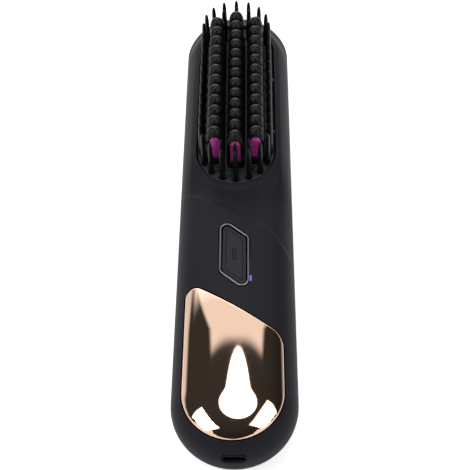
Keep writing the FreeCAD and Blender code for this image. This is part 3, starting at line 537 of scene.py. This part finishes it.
bm = bmesh.new()
corner_x = body_half_width - face_corner
crown_turn = math.atan2(corner_x, seam_height - face_height + crown_radius)
middle = bm.verts.new((0, body_reach, face_height))
crown = draw_arc(
    bm,
    [middle],
    centre=(0, body_reach, face_height - crown_radius),
    axis=(0, 1, 0),
    angle=crown_turn,
    steps=18,
)
flank = draw_arc(
    bm,
    crown,
    centre=(corner_x, body_reach, seam_height),
    axis=(0, 1, 0),
    angle=math.pi / 2 - crown_turn - math.asin(seam_bevel / face_corner),
    steps=34,
)
draw_line(bm, flank, (-seam_bevel, 0, -seam_bevel))
carry_round(bm, -body_reach, body_reach, end_steps=56, side_steps=260)
fine = [
    edge
    for edge in bm.edges
    if all(near_collar(vert) for vert in edge.verts) or all(near_crease(vert) for vert in edge.verts)
]
bmesh.ops.subdivide_edges(bm, edges=fine, cuts=1, use_grid_fill=True)
shape_face(bm)
front = put(bm, "front_shell", soft_touch, ["front_housing"], degrees=40)
thicken(front, shell_wall)

bm = bmesh.new()
round_foot = collar_top - opening_round
rim = [(0, opening_floor), (opening_radius, opening_floor), (opening_radius, round_foot)]
for step in range(1, opening_round_steps):
    turn = math.pi / 2 * step / opening_round_steps
    outward = opening_round * (1 - math.cos(turn))
    rim.append((opening_radius + outward, round_foot + opening_round * math.sin(turn)))
rim += [(opening_radius + opening_flare, collar_top + opening_over), (0, collar_top + opening_over)]
draw_chain(bm, [(x, head_far, z) for x, z in rim])
carry_round(bm, head_near, head_far, end_steps=64, side_steps=1)
raise_face(bm, slanted_face(bm, bezel_gap, bezel_pocket_floor), bezel_pocket_height)
raise_face(bm, panel_face(bm, panel_gap, panel_pocket_floor), panel_pocket_height)
block(bm, slit_size, slit_middle)
inlet_edges = edges_among(bm, block(bm, inlet_size, inlet_middle))
round_edges(bm, [edge for edge in inlet_edges if length_along(edge) > 1], inlet_round, segments=8)
cut_away(front, cutter_from(bm), degrees=40)
paint("housing_screws", screw_zinc)

# Hot plate: a coated metal plate with three tall fins whose ends show under the combs.
# Cast metal with a magenta ceramic coat, held under the bristle plate by the heater screws.
heat_coat = finish("magenta_coat", (0.40, 0.030, 0.25), 0.35, vary=0.2, cloud=700, grain=6000, bump=0.1)


def smooth_copy(node, material):
    """The CAD piece itself, with its seams merged so that round faces look round."""
    bm = bmesh.new()
    bm.from_mesh(bpy.data.objects[node].data)
    bmesh.ops.remove_doubles(bm, verts=bm.verts, dist=same_place * mm)
    bmesh.ops.scale(bm, vec=(1 / mm, 1 / mm, 1 / mm), verts=bm.verts)
    put(bm, node + "_smooth", material, [node], degrees=30)


smooth_copy("heating_plate", heat_coat)

# Bristle plate: the dark glossy floor of the head's opening, pierced for the fins and the pins.
# Moulded nylon, laid on the ledge inside the collar.
plate_gloss = finish(
    "plate_gloss", (0.042, 0.041, 0.047), 0.34, shine=0.2, vary=0.1, rough_vary=0.04, bump=0.03
)
smooth_copy("bristle_plate", plate_gloss)

# Pins: a ring of slender bullet-shaped pins round the combs, with three more inside each end.
# Moulded nylon, pressed into holes in the bristle plate.
nylon = finish(
    "comb_nylon",
    (0.005, 0.005, 0.0055),
    0.3,
    shine=0.21,
    vary=0.15,
    rough_vary=0.03,
    grain=7000,
    bump=0.05,
)
pin_ring = 14.4
pin_end_steps = 8
pin_side_steps = 10
inner_ring = 10.1
inner_angle = math.radians(34)
pin_line = [(0, 23.3), (1.25, 23.3), (1.25, 24.5), (1.12, 30.0), (1.01, 35.0), (0.95, 37.9), (0.91, 39.2)]
pin_line += [(0.83, 40.4), (0.71, 41.6), (0.56, 42.3), (0.45, 42.6), (0.26, 42.82), (0, 42.9)]
pin_places = []
for end, way in ((head_near, -1), (head_far, 1)):
    for step in range(pin_end_steps + 1):
        turn = math.pi * step / pin_end_steps
        pin_places.append((pin_ring * math.cos(turn), end + way * pin_ring * math.sin(turn)))
    for turn in (-inner_angle, 0, inner_angle):
        pin_places.append((inner_ring * math.sin(turn), end + way * inner_ring * math.cos(turn)))
for step in range(1, pin_side_steps):
    y = head_near + (head_far - head_near) * step / pin_side_steps
    pin_places += [(-pin_ring, y), (pin_ring, y)]
bm = bmesh.new()
for x, y in pin_places:
    line = draw_chain(bm, [(x + radius, y, z) for radius, z in pin_line])
    bmesh.ops.spin(
        bm, geom=line, cent=(x, y, 0), axis=(0, 0, 1), angle=2 * math.pi, steps=18, use_merge=True
    )
bmesh.ops.remove_doubles(bm, verts=bm.verts, dist=same_place / 2)
put(bm, "pins", nylon, ["bristle_pins"], degrees=50)

# Combs: three arched covers over the hot fins, with a row of round domes along the top of each.
# The same nylon, moulded as one piece each with a low foot, and clipped through the bristle plate.
# The foot has a duller skin, and a channel runs through it for the fin.
foot_nylon = finish("foot_nylon", (0.006, 0.006, 0.0066), 0.5, shine=0.08, vary=0.15, grain=5000, bump=0.1)
comb_half = 3.15
comb_base = 24.5
comb_spring = 37.6
comb_top = 43.35
comb_valley = 40.2
comb_wall = 0.8
comb_pitch = 5.87
comb_overhang = 2.8
dome_middle = 40.5
dome_half = 2.85
dome_along = 2.75
dome_steep = 0.95
dome_join = 0.5
dome_steps = 30
foot_width = 7.6
foot_longer = 0.8
foot_forward = 1.6
foot_height = 4.0
foot_round = 2.8
foot_rim = 0.7
channel_width = 4.7
channel_longer = 1.0
channel_height = 12.0
comb_rows = (("left", -8.5, 51.45, 12), ("centre", 0.0, 52.2, 13), ("right", 8.5, 51.45, 12))
sharp_edge = 0.5


def comb_height(across, y, first, count):
    """Height of a comb's top: round domes that stand out of an arched bar."""
    nearest = first + comb_pitch * min(max(round((y - first) / comb_pitch), 0), count - 1)
    bar = comb_spring + (comb_valley - comb_spring) * math.sqrt(max(1 - (across / comb_half) ** 2, 0))
    reach = math.hypot(across / dome_half, (y - nearest) / dome_along)
    share = math.sqrt(1 - min(reach, dome_steep) ** 2)
    share -= max(reach - dome_steep, 0) * dome_steep / share
    return soft_higher(bar, dome_middle + (comb_top - dome_middle) * share, dome_join)


def soften_rims(bm, above, offset):
    """Rounds the sharp edges that lie above a height."""
    upper = [edge for edge in bm.edges if min(vert.co.z for vert in edge.verts) > above]
    rims = [edge for edge in upper if edge.calc_face_angle(0) > sharp_edge]
    round_edges(bm, rims, offset, segments=4)


for name, x, middle, count in comb_rows:
    first = middle - comb_pitch * (count - 1) / 2
    near = first - comb_overhang
    far = first + comb_pitch * (count - 1) + comb_overhang
    bm = bmesh.new()
    foot = bm.verts.new((x - comb_half, near, comb_base))
    spring = draw_line(bm, [foot], (0, 0, comb_spring - comb_base))
    arch = draw_arc(bm, spring, (x, near, comb_spring), axis=(0, 1, 0), angle=math.pi, steps=48)
    draw_line(bm, arch, (0, 0, comb_base - comb_spring))
    pull_along(bm, list(bm.edges), far - near)
    divide_along(bm, far - near, dome_steps * count)
    for vert in bm.verts:
        if vert.co.z > comb_spring + 10 * same_place:
            vert.co.z = comb_height(vert.co.x - x, vert.co.y, first, count)
    comb = put(bm, "comb_" + name, nylon, ["comb_cover_" + name], degrees=60)
    thicken(comb, comb_wall)

    bm = bmesh.new()
    foot_middle = comb_base + foot_height / 2
    foot_size = (foot_width, far - near + foot_longer, foot_height)
    block(bm, foot_size, (x, (near + far - foot_forward) / 2, foot_middle))
    upright = [edge for edge in bm.edges if abs(edge.verts[0].co.z - edge.verts[1].co.z) > 1]
    round_edges(bm, upright, foot_round, segments=8)
    soften_rims(bm, foot_middle, foot_rim)
    comb_foot = put(bm, "comb_foot_" + name, foot_nylon, ["comb_cover_" + name])
    bm = bmesh.new()
    channel_size = (channel_width, far - near + channel_longer, channel_height)
    block(bm, channel_size, (x, (near + far) / 2, foot_middle))
    cut_away(comb_foot, cutter_from(bm))

# Power button: a slanted cap in a gunmetal bezel, over a small switch, with a lit slit beside it.
# Painted plastic cap with a border line and a pill mark; the bezel is pressed into the front housing.
ring_shrink = 0.1
ring_base = 24.4
ring_width = 0.8
ring_height = 1.75
cap_shrink = 1.35
cap_base = 23.0
cap_height = 2.7
button_rim = 0.3
border_inset = 0.9
border_width = 0.15
border_depth = 0.2
mark_reach = 1.9
mark_base = 25.6
glow_start = 25.2
glow_full = 25.5
gunmetal = finish("gunmetal_ring", (0.16, 0.16, 0.17), 0.28, metal=1.0, vary=0.08, cloud=400)


def inset(bm, face, thickness, depth=0):
    """Draws a face's outline in and gives back the faces of the rim that is left."""
    drawn = bmesh.ops.inset_region(
        bm, faces=[face], thickness=thickness, depth=depth, use_even_offset=True, use_boundary=True
    )
    return drawn["faces"]


bm = bmesh.new()
outline = slanted_face(bm, -ring_shrink, ring_base)
ring = inset(bm, outline, ring_width)
bmesh.ops.delete(bm, geom=[outline], context="FACES_ONLY")
grown = bmesh.ops.extrude_face_region(bm, geom=ring)["geom"]
bmesh.ops.translate(bm, verts=verts_of(grown), vec=(0, 0, ring_height))
bmesh.ops.recalc_face_normals(bm, faces=bm.faces)
soften_rims(bm, ring_base + ring_height / 2, button_rim)
put(bm, "bezel_ring", gunmetal, ["button_bezel"])

cap_paint = finish(
    "cap_paint", (0.0155, 0.0148, 0.0190), 0.45, shine=0.18, vary=0.06, grain=5000, bump=0.1
)
mark_paint = finish("mark_paint", (0.005, 0.005, 0.006), 0.5, shine=0.1)
bm = bmesh.new()
raise_face(bm, slanted_face(bm, -cap_shrink, cap_base), cap_height)
bmesh.ops.recalc_face_normals(bm, faces=bm.faces)
soften_rims(bm, cap_base + cap_height / 2, button_rim)
top = max(bm.faces, key=lambda face: face.calc_center_median().z)
inset(bm, top, border_inset)
for depth in (-border_depth, 0, border_depth):
    inset(bm, top, border_width, depth)
put(bm, "button_cap", cap_paint, ["power_button"], body="power_button")
pills = (("mark", 0.85, 0.12, mark_paint), ("mark_middle", 0.4, 0.14, cap_paint))
for name, radius, height, material in pills:
    bm = bmesh.new()
    x, y = bezel_middle
    tip = bm.verts.new((x + radius, y + mark_reach, mark_base))
    bow = draw_arc(bm, [tip], (x, y + mark_reach, 0), axis=(0, 0, 1), angle=math.pi, steps=12)
    lower = draw_line(bm, bow, (0, -2 * mark_reach, 0))
    draw_arc(bm, lower, (x, y - mark_reach, 0), axis=(0, 0, 1), angle=math.pi, steps=12)
    bmesh.ops.remove_doubles(bm, verts=bm.verts, dist=same_place)
    bm.edges.new([vert for vert in bm.verts if len(vert.link_edges) == 1])
    pill = bmesh.ops.contextual_create(bm, geom=list(bm.edges))["faces"][0]
    raise_face(bm, pill, height)
    put(bm, "button_" + name, material, ["power_button"], body="power_button")
paint("switch_body", steel)
paint("switch_plunger", epoxy)

violet = finish("violet_glow", (0.10, 0.08, 0.5), 0.2)
tree = violet.node_tree
glow = tree.nodes["Principled BSDF"]
glow.inputs["Emission Color"].default_value = (0.075, 0.065, 0.24, 1)
spot = tree.nodes.new("ShaderNodeTexCoord")
upright = tree.nodes.new("ShaderNodeSeparateXYZ")
lit = tree.nodes.new("ShaderNodeMapRange")
lit.inputs["From Min"].default_value = glow_start * mm
lit.inputs["From Max"].default_value = glow_full * mm
tree.links.new(spot.outputs["Object"], upright.inputs[0])
tree.links.new(upright.outputs["Z"], lit.inputs["Value"])
tree.links.new(lit.outputs["Result"], glow.inputs["Emission Strength"])
paint("indicator_light_pipe", violet)
paint("indicator_led", finish("lamp_resin", (0.8, 0.78, 0.66), 0.15))

# Handle panel: a mirror-bright rose gold cover let into the handle's face, with a rounded rim.
# Electroplated plastic, held by pegs; it is crowned like the face and stands just proud of it.
rose_gold = finish(
    "rose_gold_plating",
    (0.90, 0.63, 0.47),
    0.035,
    metal=1.0,
    vary=0.03,
    rough_vary=0.015,
    cloud=25,
    bump=0.0,
)
panel_proud = 0.1
panel_thick = 1.6
panel_rim = 0.55
panel_rim_steps = 5
panel_slices_across = 18
panel_slices_along = 29
panel_first_slice = -105.9
panel_slice_step = 1.5


def face_rise(x, y):
    """Height of the plain crowned face at a place on the handle."""
    distance = math.hypot(x, min(y + body_reach, 0))
    if distance < corner_x + face_corner * math.sin(crown_turn):
        return face_height - crown_radius + math.sqrt(crown_radius**2 - distance**2)
    return seam_height + math.sqrt(max(face_corner**2 - (distance - corner_x) ** 2, 0))


def slice_at(bm, place, way):
    """Divides a sheet along a plane, so that it can bend there."""
    everything = list(bm.verts) + list(bm.edges) + list(bm.faces)
    bmesh.ops.bisect_plane(bm, geom=everything, plane_co=place, plane_no=way)


bm = bmesh.new()
inside = bm.verts.layers.float.new("inside")
sheet = panel_face(bm, 0, 0)
rings = []
for step in range(panel_rim_steps + 1):
    rings.append(panel_rim * (1 - math.cos(math.pi / 2 * step / panel_rim_steps)))
for before, after in zip(rings, rings[1:]):
    inset(bm, sheet, after - before)
    for vert in sheet.verts:
        vert[inside] = after
for position in range(-panel_slices_across, panel_slices_across + 1):
    slice_at(bm, (position, 0, 0), (1, 0, 0))
for position in range(panel_slices_along):
    slice_at(bm, (0, panel_first_slice + position * panel_slice_step, 0), (0, 1, 0))
skirt = [edge for edge in bm.edges if edge.is_boundary]
for vert in bm.verts:
    reach = panel_rim - min(vert[inside], panel_rim)
    drop = panel_rim - math.sqrt(max(panel_rim**2 - reach**2, 0))
    vert.co.z = face_rise(vert.co.x, vert.co.y) + panel_proud - drop
grown = bmesh.ops.extrude_edge_only(bm, edges=skirt)["geom"]
bmesh.ops.translate(bm, verts=verts_of(grown), vec=(0, 0, panel_rim - panel_thick))
bottom = [edge for edge in edges_of(grown) if edge.is_boundary]
bmesh.ops.contextual_create(bm, geom=bottom)
put(bm, "rose_gold_panel", rose_gold, ["handle_panel"], degrees=60)

# Charging socket: a steel shell with a black tongue in the handle's round end; the shell's near-black
# colour is painted shade inside the slot.
# Drawn steel, soldered to the small board behind it, from which two leads run to the main board.
# Painted shade: the steel shell gets a near-black colour that stands for the shade inside the slot.
socket_shell_shade = finish("socket_painted_shade", (0.012, 0.012, 0.013), 0.5, metal=1.0, cloud=500)
smooth_copy("charging_socket_shell", socket_shell_shade)
paint("charging_socket_tongue", epoxy)
paint("charging_board", laminate)
paint("charging_leads", silicone)

# Studio: a white floor, a white surround low down and behind, three softboxes, and the camera.
# Floor and surround are white to the camera; shiny pieces see a white wall behind and a dark ceiling.
floor_half = 3.0
paper_white = (0.82, 0.82, 0.82, 1)
paper_seen_by_camera = 0.62
paper_seen_by_gloss = 0.31
floor_mesh = bpy.data.meshes.new("floor")
bm = bmesh.new()
bmesh.ops.create_grid(bm, x_segments=1, y_segments=1, size=floor_half)
bm.to_mesh(floor_mesh)
bm.free()
floor = bpy.data.objects.new("floor", floor_mesh)
bpy.context.collection.objects.link(floor)
paper = bpy.data.materials.new("paper")
paper.use_nodes = True
tree = paper.node_tree
paper_surface = tree.nodes["Principled BSDF"]
paper_surface.inputs["Base Color"].default_value = paper_white
paper_surface.inputs["Roughness"].default_value = 0.9
ray = tree.nodes.new("ShaderNodeLightPath")
seen = tree.nodes.new("ShaderNodeMath")
seen.operation = "MULTIPLY"
seen.inputs[1].default_value = paper_seen_by_gloss
tree.links.new(ray.outputs["Is Glossy Ray"], seen.inputs[0])
lift = tree.nodes.new("ShaderNodeMath")
lift.operation = "MULTIPLY_ADD"
lift.inputs[1].default_value = paper_seen_by_camera
tree.links.new(ray.outputs["Is Camera Ray"], lift.inputs[0])
tree.links.new(seen.outputs[0], lift.inputs[2])
paper_surface.inputs["Emission Color"].default_value = (1, 1, 1, 1)
tree.links.new(lift.outputs[0], paper_surface.inputs["Emission Strength"])
floor_mesh.materials.append(paper)

world = bpy.data.worlds.new("studio")
bpy.context.scene.world = world
world.use_nodes = True
tree = world.node_tree
surround = tree.nodes["Background"]
surround.inputs["Color"].default_value = (1, 1, 1, 1)
outlook = tree.nodes.new("ShaderNodeTexCoord").outputs["Generated"]
split = tree.nodes.new("ShaderNodeSeparateXYZ")
tree.links.new(outlook, split.inputs[0])


def fade(value, low, high, at_low, at_high):
    """A soft change from one strength at low to another at high."""
    step = tree.nodes.new("ShaderNodeMapRange")
    step.interpolation_type = "SMOOTHSTEP"
    step.inputs["From Min"].default_value = low
    step.inputs["From Max"].default_value = high
    step.inputs["To Min"].default_value = at_low
    step.inputs["To Max"].default_value = at_high
    tree.links.new(value, step.inputs["Value"])
    return step.outputs["Result"]


def beyond(across, along, upward, softness, strength=1):
    """The strength where a direction lies on the white side of a plane through the object, 0 elsewhere."""
    reach = tree.nodes.new("ShaderNodeVectorMath")
    reach.operation = "DOT_PRODUCT"
    reach.inputs[1].default_value = (across, along, upward)
    tree.links.new(outlook, reach.inputs[0])
    return fade(reach.outputs["Value"], -softness, softness, 0, strength)


def combine(operation, first, *others):
    """Joins several strengths by one operation."""
    for other in others:
        node = tree.nodes.new("ShaderNodeMath")
        node.operation = operation
        tree.links.new(first, node.inputs[0])
        tree.links.new(other, node.inputs[1])
        first = node.outputs[0]
    return first


wall = combine(
    "MULTIPLY",
    beyond(1, 0.66, 0, softness=0.03),
    beyond(-1, 0.68, 0, softness=0.03),
    beyond(0.05, 1, -0.54, softness=0.01),
    beyond(-0.05, 1, -0.54, softness=0.01),
)
sides = combine("MAXIMUM", beyond(-1, 0, -0.47, softness=0.02), beyond(1, 0, -0.47, softness=0.02))
sides = combine("MULTIPLY", sides, beyond(0, -1, -0.3, softness=0.02))
around = combine(
    "MULTIPLY",
    fade(split.outputs["Z"], low=0.34, high=0.50, at_low=0.85, at_high=0.04),
    fade(split.outputs["Y"], low=-0.6, high=0.3, at_low=0.45, at_high=1.0),
    fade(split.outputs["X"], low=0.1, high=0.8, at_low=1.0, at_high=0.45),
)
back = combine(
    "MULTIPLY",
    beyond(1, 0.85, 0, softness=0.2),
    beyond(-1, 0.35, 0, softness=0.2),
    beyond(0, 1, -0.9, softness=0.1, strength=1.4),
)
white = combine("ADD", combine("MAXIMUM", around, wall, sides), back)
ray = tree.nodes.new("ShaderNodeLightPath")
tree.links.new(combine("MAXIMUM", white, ray.outputs["Is Camera Ray"]), surround.inputs["Strength"])

light_aim = Vector((0, -0.06, 0.02))


def softbox(name, zenith, azimuth, width, height, turn, radiance, shape="RECTANGLE"):
    """A soft light one metre from the handle, at an angle from straight up and one round from the right."""
    data = bpy.data.lights.new(name, "AREA")
    data.shape = shape
    data.size = width
    data.size_y = height
    area = width * height * (math.pi / 4 if shape == "ELLIPSE" else 1)
    data.energy = radiance * math.pi * area
    lamp = bpy.data.objects.new(name, data)
    bpy.context.collection.objects.link(lamp)
    zenith = math.radians(zenith)
    azimuth = math.radians(azimuth)
    level = math.sin(zenith)
    way = Vector((level * math.cos(azimuth), level * math.sin(azimuth), math.cos(zenith)))
    side = Vector((math.cos(math.radians(turn)), math.sin(math.radians(turn)), 0))
    side = (side - way * side.dot(way)).normalized()
    facing = Matrix((side, way.cross(side), way)).transposed().to_4x4()
    lamp.matrix_world = Matrix.Translation(light_aim + way) @ facing
    lamp.visible_camera = False


softbox(
    "softbox_top", zenith=13.8, azimuth=83, width=0.51, height=0.485, turn=0, radiance=3.3, shape="ELLIPSE"
)
softbox("softbox_left", zenith=32.5, azimuth=192.8, width=0.50, height=0.44, turn=30, radiance=3.9)
softbox("softbox_right", zenith=30.7, azimuth=-5.2, width=0.55, height=0.47, turn=-30, radiance=2.2)

photo_side_px = 470
focal_length_px = 932.8
camera_place = (0.009313, -0.23320, 0.32885)
elevation = math.radians(55.076)
yaw = math.radians(2.540)
roll = math.radians(-2.536)
camera_data = bpy.data.cameras.new("camera")
camera_data.sensor_width = 36.0
camera_data.lens = focal_length_px / photo_side_px * camera_data.sensor_width
camera_data.clip_start = 0.01
camera = bpy.data.objects.new("camera", camera_data)
bpy.context.collection.objects.link(camera)
heading = Matrix.Rotation(yaw, 3, "Z")
forward = heading @ Vector((0, math.cos(elevation), -math.sin(elevation)))
right = heading @ Vector((1, 0, 0))
up = right.cross(forward)
right_rolled = math.cos(roll) * right + math.sin(roll) * up
up_rolled = -math.sin(roll) * right + math.cos(roll) * up
facing = Matrix((right_rolled, up_rolled, -forward)).transposed().to_4x4()
camera.matrix_world = Matrix.Translation(camera_place) @ facing
bpy.context.scene.camera = camera
bpy.context.scene.view_settings.view_transform = "Standard"
